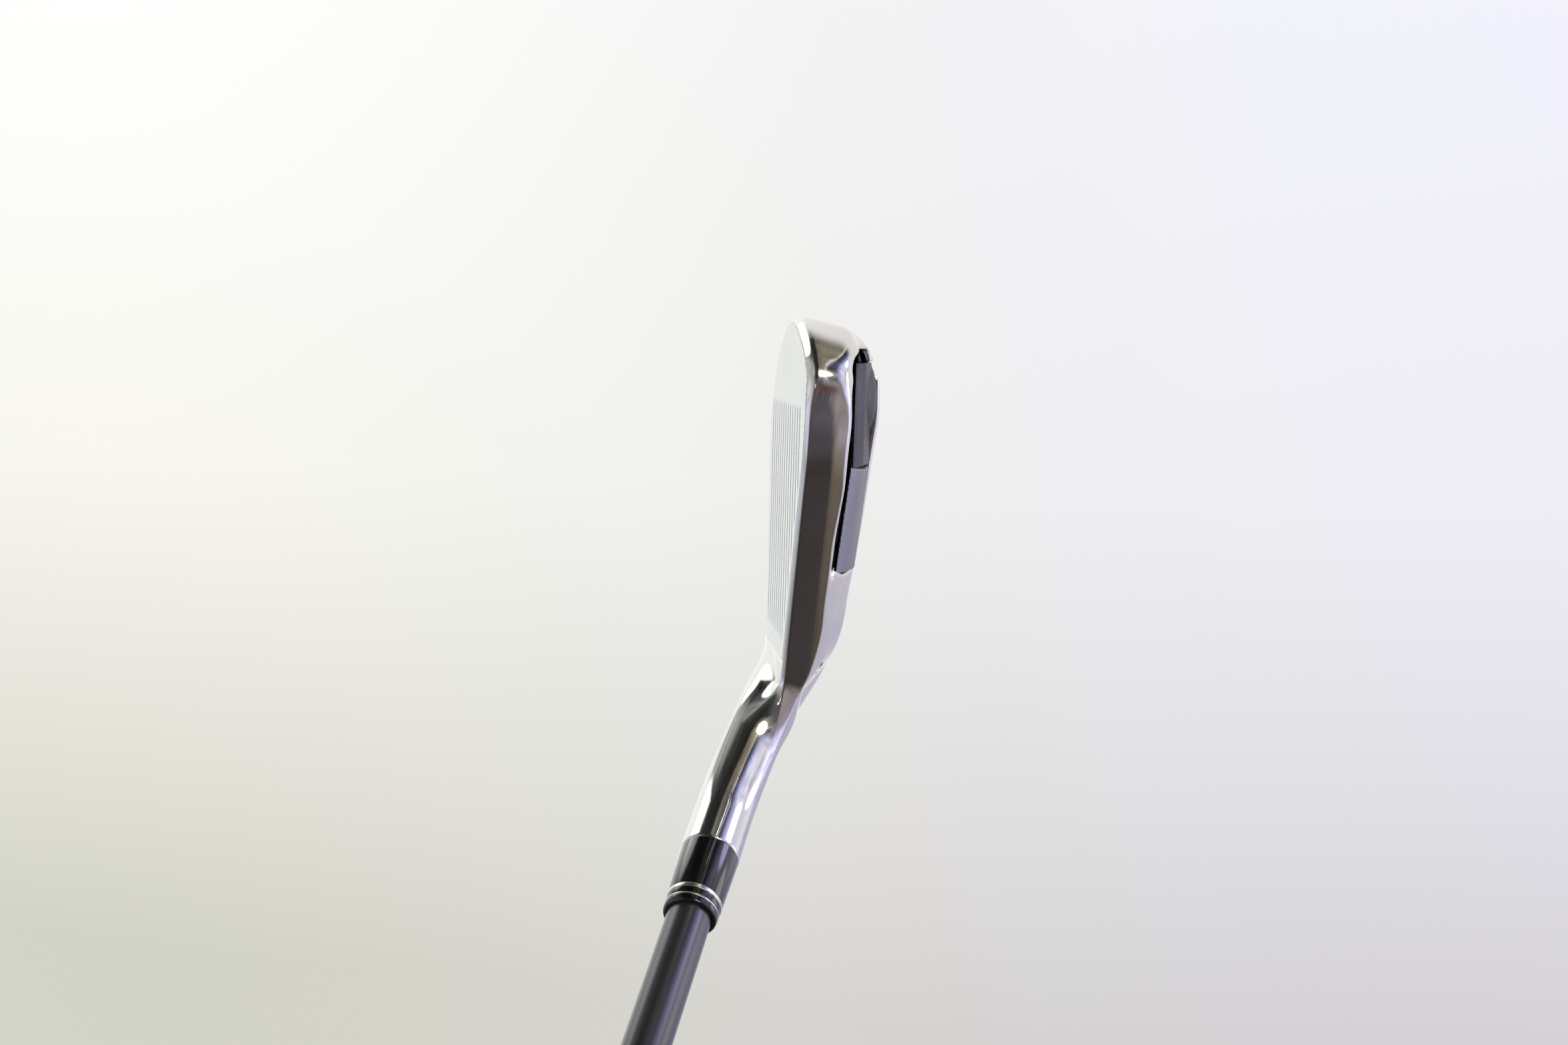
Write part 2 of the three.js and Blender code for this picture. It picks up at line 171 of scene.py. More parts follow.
# how much the toe reaches past that, against depth behind the face
TOE_SWELL = Curve([(-2, -0.3), (0, 0), (2, 0.3), (7, -0.3), (10, -0.8), (13.5, -1.6), (18, -4.0)])
# how far back the head goes, across the blade, seen from above
BACK = Curve([(-14, -8), (-8, -3.4), (-2, 1.0), (3.9, 4.7), (8, 7.3), (12, 9.0), (17.8, 10.3), (24.2, 11.1),
              (29.3, 12.0), (38.5, 13.5), (52, 15.2), (60.2, 16.2), (66.4, 16.9), (72, 16.9), (78.5, 16.6),
              (82, 15.7), (84.5, 14.3), (86, 12.8), (87.3, 9.5), (88.5, 5)])
# the sole's height, across the blade
SOLE = Curve([(-20, 12.5), (-12, 8.6), (0, 3.9), (10, 1.2), (18, 0.15), (30, 0), (50, 0), (64, 0),
              (75, 1.9), (82, 7.5), (87, 20)])
# the neck bends back below the hosel: its centre's offset against distance along the shaft axis
NECK_BEND = Curve([(-8, 5.2), (2, 3.4), (7, 2.5), (16, 1.33), (24.4, 0.7), (34, 0.15), (42, 0), (70, 0)])
# the neck widens toward the toe below the hosel, and that side of it lies further back
NECK_FLARE = Curve([(-8, 8), (8, 8.5), (16, 9.2), (24, 9.0), (30, 6.2), (36, 3.2), (42, 1.0), (47, 0.1),
                    (52, 0), (70, 0)])
FLARE_BACK = 0.42  # how far back it lies, for each millimetre that it flares
FACE_FILLET, CROTCH_FILLET = 3.5, 8.5  # between neck and blade, at the face and above the topline
# the topline's depth behind the face, across the blade
TOPLINE_BACK = Curve([(-10, -5), (-4, -0.4), (0, 2.4), (5, 5.5), (10, 7.1), (14, 7.8), (27, 8.8),
                      (46, 9.45), (57, 10.3), (63, 10.9), (70, 11.6), (75, 12.2), (80, 12.9), (88, 14)])
FRONT_STRIP, RIM_WIDTH = 0.85, 0.45  # depths of the topline's front strip and of its rear rim
REAR_BEVEL = 6.3  # how far behind the face the topline's rear bevel starts
TOP_OVERHANG = 1.3  # how far the topline's rear stands out over the panels
STRIP_TILT, BEVEL_TILT, RIM_TILT = math.radians(40), math.radians(12), math.radians(60)
TOE_BLEND, TOE_BLEND_SPAN = 66, 14  # where the blade's edges start to soften toward the toe
TOP_RADIUS, BACK_RADIUS, SOLE_RADIUS = 5.0, 1.0, 9.0  # at the toe's corner, under the rim, round the sole
CRISP = 0.25  # the radius of the topline's creases


def toe_share(u):
    """0 along the blade, rising to 1 at the toe."""
    return ease((u - TOE_BLEND) / TOE_BLEND_SPAN)


def outline_parts(u, depth, rise):
    """How far a point is below the crest, and how far it is past the toe's outline."""
    crest, slope = CREST.both(u)
    drop = (crest - rise) / np.sqrt(1 + slope ** 2)
    reach, lean = TOE_REACH.both(rise)
    toe = (u - reach - TOE_SWELL(depth)) / np.sqrt(1 + lean ** 2)
    return drop, toe


def toe_crown(u, depth):
    """How far the topline's edges round down at the toe."""
    return 1.9 * ease((u - 67) / 10) * ((np.clip(depth, 0.0, 9.2) - 4.4) / 4.8) ** 4


def plate_outline(u, rise):
    """Negative where the satin plate lies on the face."""
    drop, toe = outline_parts(u, 0.0, rise)
    shape = smax(toe_crown(u, 0.0) - drop, toe, TOP_RADIUS) + PLATE_INSET + 0.45 * toe_share(u)
    shape = smax(shape, PLATE_SOLE - rise, 1.5)
    return smax(shape, PLATE_HEEL - u, 2.0)


def blade_field(x, y, z):
    """The blade without its cavity: topline, toe, back and sole."""
    u = AXIS_X - x
    depth, rise = face_frame(y, z)
    drop, toe = outline_parts(u, depth, rise)
    toeward = toe_share(u)
    top = toe_crown(u, depth) - drop
    topline_back = TOPLINE_BACK(u)
    facet_edge = CRISP + 2.5 * toeward
    for tilt, start in ((BEVEL_TILT, REAR_BEVEL + 2.0 * toeward), (RIM_TILT, topline_back - RIM_WIDTH)):
        facet = -drop * math.cos(tilt) + (depth - start) * math.sin(tilt)
        top = smax(top, facet, facet_edge)
    outline = smax(top, toe, TOP_RADIUS)
    strip_depth = FRONT_STRIP + 0.5 * toeward - depth
    strip = outline * math.cos(STRIP_TILT) + strip_depth * math.sin(STRIP_TILT)
    outline = smax(outline, strip, CRISP + 0.6 * toeward)
    # the frame's rear is steep above the cavity, and leans back at the heel and the toe
    lean = 0.06 + 0.5 * ease((33 - u) / 4) + 0.6 * ease((u - 77) / 5)
    behind = depth - topline_back - lean * np.maximum(drop, -1) - 2 * np.maximum(drop - 6, 0)
    frame_back = behind * 0.9
    sweep, turn = BACK.both(u)
    sweep = sweep + TOP_OVERHANG * ease((u - 38) / 16) * ease((z - 28) / 14)
    back = smax((y - sweep) / np.sqrt(1 + turn ** 2), frame_back, BACK_RADIUS)
    base, slant = SOLE.both(u)
    under = (base - z) / np.sqrt(1 + slant ** 2)
    body = smax(back, under, SOLE_RADIUS)
    body = smax(body, outline, 0.6 + 2.7 * toeward)
    # the leading edge is rounder than the rest of the face's edge
    return smax(body, -depth, CRISP + 2.0 * ease((12 - rise) / 6))


def cavity_field(x, y, z):
    """What is cut out of the blade: a hollow behind the face, less a low wall and a lip at the toe,
    and an arched opening past the toe panel."""
    u = AXIS_X - x
    depth, rise = face_frame(y, z)
    drop, toe = outline_parts(u, 4.0, rise)
    tapered = y + BACK_TAPER * np.maximum(PANEL_SPLIT - u, 0)
    heel_end = CAVITY_HEEL + 0.2 * np.maximum(z - 19, 0) - u
    ends = smax(heel_end, u - CAVITY_TOE, 1.0)
    window = smax(5.2 - 2.6 * ease((u - 38) / 16) - drop, toe + 5.2, 6.0)
    hollow = smax(smax(window, ends, 2.0), PLATE_THICK + 0.4 - depth, 1.0)
    hollow = smax(hollow, CAVITY_FLOOR - z, 0.6)
    wall = smax(smax(MUSCLE_FRONT - tapered, tapered - MUSCLE_BACK, 0.4), z - MUSCLE_TOP, 0.6)
    lip = smax(smax(PANEL_TOE + 0.25 - u, LIP_INNER - y, 1.5), z - LIP_TOP, 0.5)
    hollow = smax(hollow, -lip, 0.5)
    hollow = smax(hollow, -wall, 0.4)
    arch_u, arch_y, arch_z = ARCH_MIDDLE
    upright = y - ARCH_LEAN * (z - arch_z)
    arch = ellipsoid((u - arch_u, upright - arch_y), (ARCH_LENGTH, ARCH_WIDTH)) * ARCH_WIDTH
    return smin(hollow, smax(arch, ARCH_FLOOR - z, 0.5), 0.4)


def heel_dimple(x, y, z):
    """A small hollow in the back of the heel."""
    u = AXIS_X - x
    return ellipsoid((u - 8.2, z - 20, y - BACK(u)), (1.4, 2.6, 1.3)) * 1.4


def neck_field(along, side, dy):
    """A round section at the hosel that becomes a broad one, as wide as the flare plus the hosel."""
    flare, back = NECK_FLARE(along), dy - NECK_BEND(along)
    reach = (FLARE_BACK * back - side) * flare / ((1 + FLARE_BACK ** 2) * flare ** 2 + 1e-6)
    nearest = np.clip(reach, 0.0, 1.0) * flare
    return length(side + nearest, back - FLARE_BACK * nearest) - HOSEL_R


def head_field(x, y, z):
    """The whole casting: blade and neck, less the cavity, the plate's pocket and the shaft's bore."""
    along, side, dy = axis_frame(x, y, z)
    depth, rise = face_frame(y, z)
    blade = smax(blade_field(x, y, z), side + 2.5, 6.0)
    barrel = smax(smax(neck_field(along, side, dy), along - HOSEL_TOP, 0.9), 1.5 - along, 6.0)
    crest, slope = CREST.both(AXIS_X - x)
    above = (rise - crest) / np.sqrt(1 + slope ** 2)
    radius = FACE_FILLET + (CROTCH_FILLET - FACE_FILLET) * ease((above + 5) / 7)
    body = fillet(blade, barrel, radius)
    body = smax(body, -cavity_field(x, y, z), 1.0)
    body = smax(body, -heel_dimple(x, y, z), 0.6)
    pocket = smax(plate_outline(AXIS_X - x, rise) + POCKET_INSET, depth - PLATE_THICK, 0.1)
    body = smax(body, -pocket, 0.08)
    bore = smax(length(side, dy) - BORE_R, BORE_BOTTOM - along, 0.4)
    return smax(body, -bore, 0.2)


# ---- meshes ----
def add_object(name, points, faces, normals=None, smooth=True):
    """A mesh object from points in millimetres."""
    mesh = bpy.data.meshes.new(name)
    mesh.from_pydata((np.asarray(points) * MM).tolist(), [], faces)
    mesh.validate()
    if smooth:
        mesh.polygons.foreach_set("use_smooth", [True] * len(mesh.polygons))
    if normals is not None:
        mesh.normals_split_custom_set_from_vertices(np.asarray(normals).tolist())
    mesh.update()
    obj = bpy.data.objects.new(name, mesh)
    bpy.context.scene.collection.objects.link(obj)
    return obj


# a grid cell's corners, and its edges as pairs of corners
CORNERS = np.array([(i, j, k) for i in (0, 1) for j in (0, 1) for k in (0, 1)])
EDGES = [(a, b) for a in range(8) for b in range(a + 1, 8) if np.abs(CORNERS[a] - CORNERS[b]).sum() == 1]
SLOPE_REACH = 0.02  # a field's slope is measured over this distance either way
CREASE_CALM = 0.08  # holds each point near its cell's middle where the surface is flat
SEARCH_STEP, SEARCH_REACH, SEARCH_MARGIN = 2.0, 1.5, 2.5  # for the coarse search for the surface
SETTLE_PASSES = 2


def gradient(field, points):
    """The field's slope at each point."""
    parts = [field(*(points + s).T) - field(*(points - s).T) for s in np.eye(3) * SLOPE_REACH]
    return np.stack(parts, 1) / (2 * SLOPE_REACH)


def unit(slope):
    return slope / np.maximum(np.linalg.norm(slope, axis=1, keepdims=True), 1e-9)


def held(moves, longest):
    """Moves that are cut to a longest length."""
    size = np.linalg.norm(moves, axis=1, keepdims=True)
    return moves * np.minimum(1.0, longest / np.maximum(size, 1e-9))


def search(field, low, high, basis):
    """The corners, along the basis, of a box that holds the surface."""
    coarse = [np.arange(a, b, SEARCH_STEP) for a, b in zip(low, high)]
    coarse = np.stack(np.meshgrid(*coarse, indexing="ij"), -1)
    coarse = coarse[field(*np.moveaxis(coarse, -1, 0)) < SEARCH_REACH] @ basis.T
    return coarse.min(0) - SEARCH_MARGIN, coarse.max(0) + SEARCH_MARGIN


def sample(field, axes, basis):
    """The field's value at each grid corner."""
    layer = np.stack(np.meshgrid([0.0], axes[1], axes[2], indexing="ij"), -1)[0]
    return np.stack([field(*np.moveaxis((layer + (a, 0, 0)) @ basis, -1, 0)) for a in axes[0]])


def crossings(at_corner):
    """For each of a cell's edges: its start, its direction, the cells where it crosses the surface,
    and how far along it that is."""
    for a, b in EDGES:
        va, vb = at_corner[:, a], at_corner[:, b]
        cells = np.flatnonzero((va < 0) != (vb < 0))
        yield CORNERS[a], CORNERS[b] - CORNERS[a], cells, (va[cells] / (va[cells] - vb[cells]))[:, None]


def crease_points(field, spots, at_corner, to_place):
    """Each cell's point: the middle of its crossings, moved to where their tangent planes meet."""
    total, count = np.zeros((len(spots), 3)), np.zeros(len(spots))
    for start, way, cells, t in crossings(at_corner):
        total[cells] += start + t * way
        count[cells] += 1
    points = to_place(spots + total / count[:, None])
    planes, pull = np.zeros((len(spots), 3, 3)), np.zeros((len(spots), 3))
    for start, way, cells, t in crossings(at_corner):
        crossing = to_place(spots[cells] + start + t * way)
        normal = unit(gradient(field, crossing))
        planes[cells] += normal[:, :, None] * normal[:, None, :]
        pull[cells] += normal * ((crossing - points[cells]) * normal).sum(1, keepdims=True)
    return points, np.linalg.solve(planes + CREASE_CALM * np.eye(3), pull[..., None])[..., 0]


def wall_faces(inside, number):
    """A four-sided face across each grid edge with one end inside, wound to look outward."""
    cells = number.shape
    faces = []
    for axis in range(3):
        one, two = (axis + 1) % 3, (axis + 2) % 3
        near = np.take(inside, range(cells[axis]), axis)
        far = np.take(inside, range(1, cells[axis] + 1), axis)
        places = np.argwhere(near != far)
        places = places[(places[:, one] > 0) & (places[:, two] > 0)]
        places = places[(places[:, one] < cells[one]) & (places[:, two] < cells[two])]
        step_one, step_two = np.eye(3, dtype=int)[one], np.eye(3, dtype=int)[two]
        around = [places - step_one - step_two, places - step_two, places, places - step_one]
        quads = np.stack([number[tuple(c.T)] for c in around], 1)
        outward = near[tuple(places.T)]
        faces.append(np.where(outward[:, None], quads, quads[:, ::-1]))
    return np.concatenate(faces).tolist()


def skin(name, field, low, high, step, basis=np.eye(3)):
    """The closed surface where a field is zero, with one point in each grid cell that it crosses.
    A cell's point goes to where the surface's tangent planes meet, so that creases stay straight.
    The grid's steps run along the basis, whose rows are unit vectors."""
    step = np.broadcast_to(step, 3)
    low, high = search(field, low, high, basis)
    axes = [np.arange(a, b + s, s) for a, b, s in zip(low, high, step)]
    values = sample(field, axes, basis)
    inside = values < 0
    cells = [n - 1 for n in inside.shape]
    corner_in = [inside[i:i + cells[0], j:j + cells[1], k:k + cells[2]] for i, j, k in CORNERS]
    corner_in = np.stack(corner_in, -1)
    crossed = corner_in.any(-1) & ~corner_in.all(-1)
    spots = np.argwhere(crossed)
    number = np.full(cells, -1)
    number[crossed] = np.arange(len(spots))
    at_corner = np.stack([values[tuple((spots + c).T)] for c in CORNERS], 1)
    origin = np.array([a[0] for a in axes])
    points, shift = crease_points(field, spots, at_corner, lambda at: (at * step + origin) @ basis)
    points = points + held(shift, 0.7 * step.mean())
    for _ in range(SETTLE_PASSES):
        slope = gradient(field, points)
        move = -(field(*points.T) / np.maximum((slope ** 2).sum(1), 0.05))[:, None] * slope
        points = points + held(move, 0.4 * step.min())
    return add_object(name, points, wall_faces(inside, number), unit(gradient(field, points)))


AXIS_SIDE = np.array([math.sin(LIE), 0.0, -math.cos(LIE)])
AXIS_BACK = np.array([0.0, 1.0, 0.0])


def on_axis(along, radius, angle):
    """Points at a distance along the shaft axis and a radius and angle about it."""
    along, radius, angle = np.broadcast_arrays(along, radius, angle)
    start = np.array([AXIS_X, AXIS_Y, 0.0])
    return (start + along[..., None] * AXIS_DIR
            + (radius * np.cos(angle))[..., None] * AXIS_SIDE
            + (radius * np.sin(angle))[..., None] * AXIS_BACK)


def grid_faces(rows, columns, close_rows=False, close_columns=True):
    """Four-sided faces over rows of points, closed into a ring where asked."""
    faces = []
    for i in range(rows if close_rows else rows - 1):
        for j in range(columns if close_columns else columns - 1):
            k, m = (i + 1) % rows, (j + 1) % columns
            faces.append((i * columns + j, i * columns + m, k * columns + m, k * columns + j))
    return faces


def lathe(name, profile, sides=96, relief=None):
    """A closed profile of (along, radius) turned about the shaft axis; relief lowers the outside."""
    profile = np.array(profile, float)
    angle = np.linspace(0, 2 * math.pi, sides, endpoint=False)
    along, radius = profile[:, :1], profile[:, 1:]
    if relief is not None:
        radius = radius - relief(along, radius, angle[None, :])
    points = on_axis(along + 0 * angle, radius + 0 * angle, angle[None, :]).reshape(-1, 3)
    return add_object(name, points, grid_faces(len(profile), sides, close_rows=True))


def sharpen(obj, degrees=35):
    """Edges steeper than an angle stay crisp."""
    obj.data.set_sharp_from_angle(angle=math.radians(degrees))
    return obj


# ---- node materials ----
class Tree:
    """A short way to write a node tree."""

    def __init__(self, tree):
        self.tree = tree
        tree.nodes.clear()

    def add(self, kind, inputs=None, **settings):
        node = self.tree.nodes.new(kind)
        for key, value in settings.items():
            setattr(node, key, value)
        for key, value in (inputs or {}).items():
            if isinstance(value, bpy.types.NodeSocket):
                self.tree.links.new(value, node.inputs[key])
            else:
                node.inputs[key].default_value = value
        return node

    def math(self, operation, *values):
        return self.add("ShaderNodeMath", dict(enumerate(values)), operation=operation).outputs[0]

    def smooth(self, value, low, high, out_low=0.0, out_high=1.0):
        """Goes smoothly from one output to the other while the value goes from low to high."""
        inputs = {"Value": value, "From Min": low, "From Max": high, "To Min": out_low, "To Max": out_high}
        return self.add("ShaderNodeMapRange", inputs, interpolation_type="SMOOTHSTEP").outputs[0]

    def ramp(self, value, stops):
        """A colour that a value picks from (place, colour) stops."""
        node = self.add("ShaderNodeValToRGB", {"Fac": value})
        elements = node.color_ramp.elements
        while len(elements) < len(stops):
            elements.new(0.5)
        for element, (place, color) in zip(elements, stops):
            element.position = place
            element.color = (*color, 1.0)
        return node.outputs["Color"]

    def mix(self, factor, a, b, blend="MIX"):
        node = self.add("ShaderNodeMix", data_type="RGBA", blend_type=blend)
        for key, value in ((0, factor), (6, a), (7, b)):
            if isinstance(value, bpy.types.NodeSocket):
                self.tree.links.new(value, node.inputs[key])
            else:
                node.inputs[key].default_value = value if key == 0 else (*value, 1.0)
        return node.outputs[2]

    def dot(self, where, direction):
        inputs = {0: where, 1: direction}
        return self.add("ShaderNodeVectorMath", inputs, operation="DOT_PRODUCT").outputs["Value"]

    def noise(self, where, scale, detail, stretch=None, roughness=0.5):
        if stretch is not None:
            where = self.add("ShaderNodeMapping", {"Vector": where, "Scale": stretch}).outputs[0]
        inputs = {"Vector": where, "Scale": scale, "Detail": detail, "Roughness": roughness}
        return self.add("ShaderNodeTexNoise", inputs).outputs["Fac"]


def linear(red, green, blue):
    """A display colour of 0 to 255 as linear light."""
    return tuple(((c / 255) ** 2.2) for c in (red, green, blue))


def shaft_rotation():
    """Euler angles that turn the shaft axis onto local Z, for stretched patterns."""
    return Vector(AXIS_DIR).rotation_difference(Vector((0, 0, 1))).to_euler()


class Surface(Tree):
    """A principled material whose colour, roughness and bump come from nodes."""

    def __init__(self, name, **constants):
        material = bpy.data.materials.new(name)
        material.use_nodes = True
        super().__init__(material.node_tree)
        self.material = material
        self.shader = self.add("ShaderNodeBsdfPrincipled", constants)
        self.add("ShaderNodeOutputMaterial", {"Surface": self.shader.outputs[0]})
        self.where = self.add("ShaderNodeTexCoord").outputs["Object"]

    def set(self, key, value):
        self.tree.links.new(value, self.shader.inputs[key])

    def tones(self, value, dark, light):
        """The colour goes from dark to light over the middle of a value's range."""
        self.set("Base Color", self.ramp(value, [(0.3, dark), (0.7, light)]))

    def bump(self, height, distance, strength):
        inputs = {"Height": height, "Distance": distance, "Strength": strength}
        if self.shader.inputs["Normal"].is_linked:
            inputs["Normal"] = self.shader.inputs["Normal"].links[0].from_socket
        self.set("Normal", self.add("ShaderNodeBump", inputs).outputs[0])

    def along_shaft(self):
        return self.add("ShaderNodeMapping", {"Vector": self.where, "Rotation": shaft_rotation()}).outputs[0]


def chrome():
    """Bright plating with faint waves, wipe marks, scratches and a few pits."""
    s = Surface("polished_chrome", Metallic=1.0)
    broad = s.noise(s.where, 90, 4)
    s.tones(broad, linear(226, 224, 220), linear(236, 235, 234))
    smear = s.noise(s.where, 260, 5, roughness=0.65)
    s.set("Roughness", s.smooth(smear, 0.35, 0.75, 0.045, 0.13))
    wave = s.noise(s.where, 55, 2)
    s.bump(wave, distance=0.00025, strength=0.35)
    scratch = s.noise(s.where, 900, 2, stretch=(0.15, 1.0, 1.6))
    s.bump(s.smooth(scratch, 0.62, 0.72), distance=0.00002, strength=0.25)
    cells = {"Vector": s.where, "Scale": 420.0, "Randomness": 1.0}
    pits = s.add("ShaderNodeTexVoronoi", cells).outputs["Distance"]
    few = s.smooth(s.noise(s.where, 130, 2), 0.55, 0.65)
    s.bump(s.math("MULTIPLY", s.smooth(pits, 0.16, 0.08), few), distance=0.00004, strength=-0.5)
    return s.material


def satin_face():
    """The blasted face, with painted shade darkening its score lines."""
    s = Surface("satin_face", Metallic=1.0)
    blast = s.noise(s.where, 2600, 3)
    tone = s.noise(s.where, 60, 3)
    color = s.ramp(tone, [(0.3, linear(243, 246, 244)), (0.7, linear(250, 252, 250))])
    color = s.mix(0.08, color, s.ramp(blast, [(0.3, (0.35,) * 3), (0.7, (0.95,) * 3)]))
    inward = s.dot(s.where, (0.0, COS_LOFT, -SIN_LOFT))
    depth = s.math("SUBTRACT", inward, FACE_Y * COS_LOFT * MM)
    in_line = s.smooth(depth, 0.0, 0.00012)  # painted shade: the score lines' hollows are darkened in the colour
    # painted shade: a dark colour wherever the face lies below the plate's front
    s.set("Base Color", s.mix(in_line, color, (0.10, 0.105, 0.105)))
    s.set("Roughness", s.smooth(blast, 0.3, 0.7, 0.38, 0.5))
    s.bump(blast, distance=0.00006, strength=0.35)
    lines = s.noise(s.where, 420, 2, stretch=(0.04, 1.0, 1.0))
    s.bump(lines, distance=0.00004, strength=0.2)
    return s.material


def satin_panel(name, dark, light):
    """Blasted steel of one tone, with specks."""
    s = Surface(name, Metallic=1.0)
    blast = s.noise(s.where, 2200, 3)
    tone = s.noise(s.where, 120, 4)
    s.tones(tone, dark, light)
    s.set("Roughness", s.smooth(blast, 0.3, 0.7, 0.34, 0.46))
    s.bump(blast, distance=0.00005, strength=0.3)
    specks = s.noise(s.where, 500, 2)
    s.bump(s.smooth(specks, 0.7, 0.78), distance=0.00004, strength=-0.4)
    return s.material


def moulded(name, dark, light, rough, grain=1500.0, height=0.00008):
    """Rubber, foam or plastic with a fine moulded grain."""
    s = Surface(name)
    fine = s.noise(s.where, grain, 4)
    tone = s.noise(s.where, grain / 18, 3)
    s.set("Base Color", s.ramp(tone, [(0.32, dark), (0.68, light)]))
    s.set("Roughness", s.smooth(fine, 0.3, 0.7, rough - 0.06, rough + 0.06))
    s.bump(fine, height, 0.4)
    return s.material


def ferrule_plastic():
    """Glossy black plastic with faint turning marks."""
    s = Surface("ferrule_gloss_black", **{"Coat Weight": 0.8, "Coat Roughness": 0.05})
    tone = s.noise(s.where, 150, 3)
    s.tones(tone, (0.0035, 0.0035, 0.005), (0.009, 0.009, 0.012))
    s.set("Roughness", s.smooth(s.noise(s.where, 700, 4), 0.35, 0.7, 0.07, 0.16))
    turned = s.noise(s.along_shaft(), 300, 2, stretch=(0.1, 0.1, 4.0))
    s.bump(turned, distance=0.00003, strength=0.2)
    return s.material


def graphite():
    """Dark fibres along the shaft under a clear coat."""
    s = Surface("graphite_satin", **{"Metallic": 0.75, "Coat Weight": 0.5, "Coat Roughness": 0.2})
    along = s.along_shaft()
    fibres = s.noise(along, 900, 3, stretch=(1.0, 1.0, 0.02))
    cloud = s.noise(along, 40, 3, stretch=(1.0, 1.0, 0.3))
    color = s.ramp(cloud, [(0.3, linear(88, 88, 92)), (0.7, linear(106, 105, 111))])
    tint = s.ramp(fibres, [(0.3, (0.55,) * 3), (0.7, (1.0,) * 3)])
    s.set("Base Color", s.mix(0.35, color, tint, "MULTIPLY"))
    s.set("Roughness", s.smooth(fibres, 0.3, 0.7, 0.26, 0.38))
    s.bump(fibres, distance=0.00002, strength=0.25)
    return s.material


def brushed(name, dark, light, rough):
    """Metal with fine brushed lines."""
    s = Surface(name, Metallic=1.0)
    lines = s.noise(s.where, 1500, 3, stretch=(0.03, 1.0, 1.0))
    s.tones(lines, dark, light)
    s.set("Roughness", s.smooth(s.noise(s.where, 400, 3), 0.3, 0.7, rough - 0.05, rough + 0.07))
    s.bump(lines, distance=0.00003, strength=0.3)
    return s.material


def tape():
    """Cream crepe tape."""
    s = Surface("masking_tape")
    crepe = s.noise(s.along_shaft(), 700, 3, stretch=(0.3, 0.3, 2.0))
    s.tones(crepe, linear(205, 196, 170), linear(226, 219, 198))
    s.set("Roughness", s.smooth(crepe, 0.3, 0.7, 0.7, 0.85))
    s.bump(crepe, distance=0.00005, strength=0.5)
    return s.material


def place(obj, slot, material, *nodes):
    """The piece rides with the club, takes a finish, and stands for CAD nodes."""
    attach(obj, "root")
    obj.data.materials.clear()
    obj.data.materials.append(material)
    if nodes:
        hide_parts(*nodes)


# ---- camera, light and floor ----
# The camera's place, in metres, and its directions were solved from the photo's perspective.
CAMERA_AT = Vector((-0.04466, 0.07681, 0.38032))
CAMERA_FORWARD = Vector((0.11708, -0.21214, -0.97020)).normalized()
CAMERA_RIGHT = CAMERA_FORWARD.cross(Vector((-0.99269, -0.05381, -0.10803))).normalized()
CAMERA_UP = CAMERA_RIGHT.cross(CAMERA_FORWARD)
LENS = 37.42
PALE = (0.80, 0.80, 0.79)  # the backdrop's tone


def make_camera():
    data = bpy.data.cameras.new("camera")
    data.lens = LENS
    data.sensor_width = 36.0
    data.clip_start = 0.01
    camera = bpy.data.objects.new("camera", data)
    turn = Matrix((CAMERA_RIGHT, CAMERA_UP, -CAMERA_FORWARD)).transposed()
    camera.matrix_world = Matrix.Translation(CAMERA_AT) @ turn.to_4x4()
    bpy.context.scene.collection.objects.link(camera)
    bpy.context.scene.camera = camera


# The studio's light by direction. Stops run from the camera's left (-1) to its right (1).
DIM = (0.026, 0.026, 0.024)
ABOVE = [
    (-1, (0.5, 0.52, 0.5)), (-0.75, (0.4, 0.42, 0.4)), (-0.6, (0.08, 0.09, 0.085)), (-0.3, DIM), (0.0, DIM),
    (0.05, (0.19, 0.17, 0.13)), (0.34, (0.26, 0.235, 0.185)), (0.375, (0.85, 0.85, 0.8)),
    (0.40, (0.05, 0.05, 0.08)), (0.5, (0.09, 0.09, 0.16)), (0.6, (0.4, 0.4, 0.68)), (0.75, (0.8, 0.8, 1.0)),
    (0.9, (0.8, 0.78, 0.9)), (1, (0.7, 0.66, 0.78))]
BELOW = [
    (-1, (0.36, 0.36, 0.34)), (-0.8, (0.27, 0.27, 0.25)), (-0.5, (0.1, 0.1, 0.08)),
    (-0.2, (0.04, 0.036, 0.034)), (0.28, (0.064, 0.057, 0.056)), (0.42, (0.145, 0.124, 0.1)),
    (0.58, (0.16, 0.135, 0.108)), (0.75, (0.2, 0.18, 0.175)), (0.9, (0.36, 0.34, 0.4)),
    (1, (0.62, 0.58, 0.66))]
SWEEP = [
    (-1, (1.0, 1.01, 0.98)), (-0.2, (1.05, 1.045, 1.02)), (0.3, (0.82, 0.8, 0.78)),
    (0.6, (0.82, 0.79, 0.79)), (0.8, (0.88, 0.86, 1.0)), (1, (0.82, 0.8, 0.92))]
RED_WALL = (0.13, 0.078, 0.072)
# each lamp: its direction as the camera's right, up and ahead, where its glow starts and is full, its light
LAMPS = [
    ((0.25, 0.30, -0.92), 0.972, 0.988, (6.0, 5.9, 4.6)),
    ((0.25, 0.34, -0.90), 0.92, 0.99, (0.25, 0.24, 0.15)),
    ((-0.28, -0.19, -0.94), 0.9985, 0.9995, (2.0, 1.9, 1.3)),
    ((0.93, 0.12, 0.25), 0.975, 0.988, (1.2, 1.2, 1.1)),
    ((-0.525, 0.629, 0.572), 0.960, 0.990, (1.6, 1.65, 1.6)),
    ((0.77, 0.57, 0.28), 0.985, 0.996, (2.2, 2.2, 3.6)),
]


